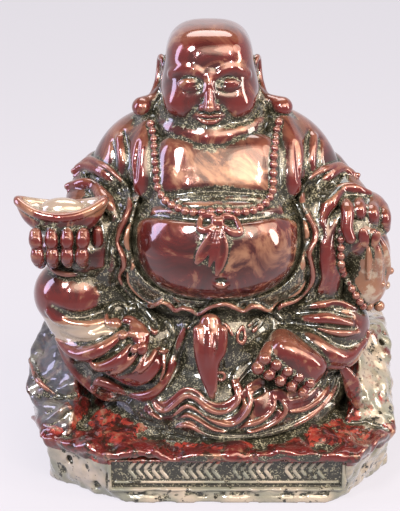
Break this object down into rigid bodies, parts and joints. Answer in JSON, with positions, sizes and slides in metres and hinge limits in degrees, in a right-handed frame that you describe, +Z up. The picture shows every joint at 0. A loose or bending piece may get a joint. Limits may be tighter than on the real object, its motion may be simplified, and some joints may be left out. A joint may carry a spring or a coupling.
{
  "type": "seated monk figurine",
  "caption": "Glossy red-brown cast figurine of a round-bellied seated monk on a rock base with a plaque panel; stands by its own weight.",
  "frame": {"origin": "centre of the bounding box's underside, on the surface the figurine stands on", "axes": "+Z up, -Y towards the front (the side with the face and plaque), +X to the viewer's right seen from the front"},
  "size_m": [0.127, 0.085, 0.15],
  "materials": {
    "resin": "high-gloss lacquer, dark olive in the recesses"
  },
  "bodies": {
    "root": {"figurine": "resin"}
  },
  "joints": []
}
